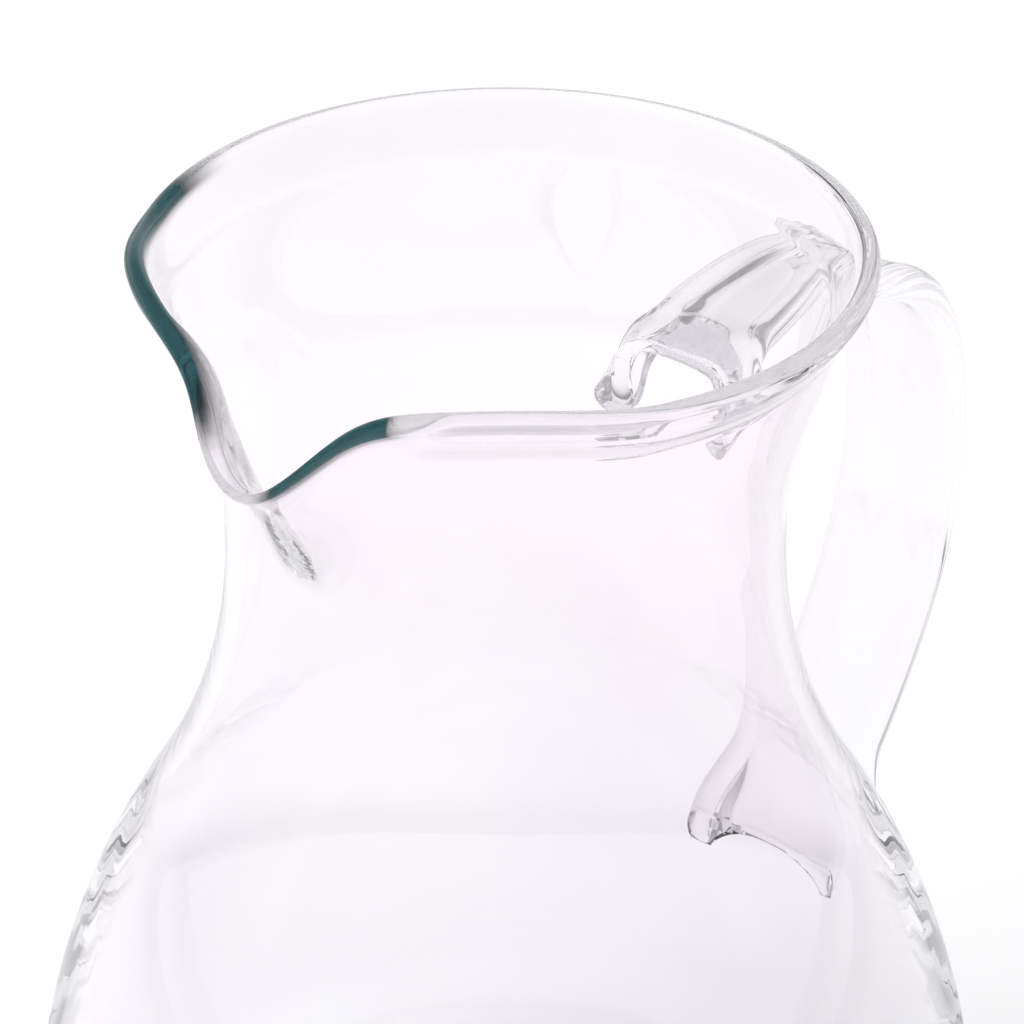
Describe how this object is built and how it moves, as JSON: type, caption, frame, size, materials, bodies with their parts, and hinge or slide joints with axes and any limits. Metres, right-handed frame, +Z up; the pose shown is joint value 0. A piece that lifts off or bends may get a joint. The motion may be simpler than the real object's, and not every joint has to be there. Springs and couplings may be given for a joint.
{
  "type": "glass jug",
  "caption": "Round-bellied clear glass jug with a narrow waist, a turned-out rim, a pulled pouring lip and a flat glass strap handle set on opposite the lip.",
  "frame": {"origin": "middle of the foot, on the table and on the vessel's axis", "axes": "+Z up along the vessel's axis, +X towards the handle, the pouring lip towards -X"},
  "size_m": [0.1858, 0.1544, 0.2296],
  "materials": {
    "glass": "fire-polished clear glass"
  },
  "bodies": {
    "root": {"vessel": "glass", "handle": "glass"}
  },
  "joints": []
}
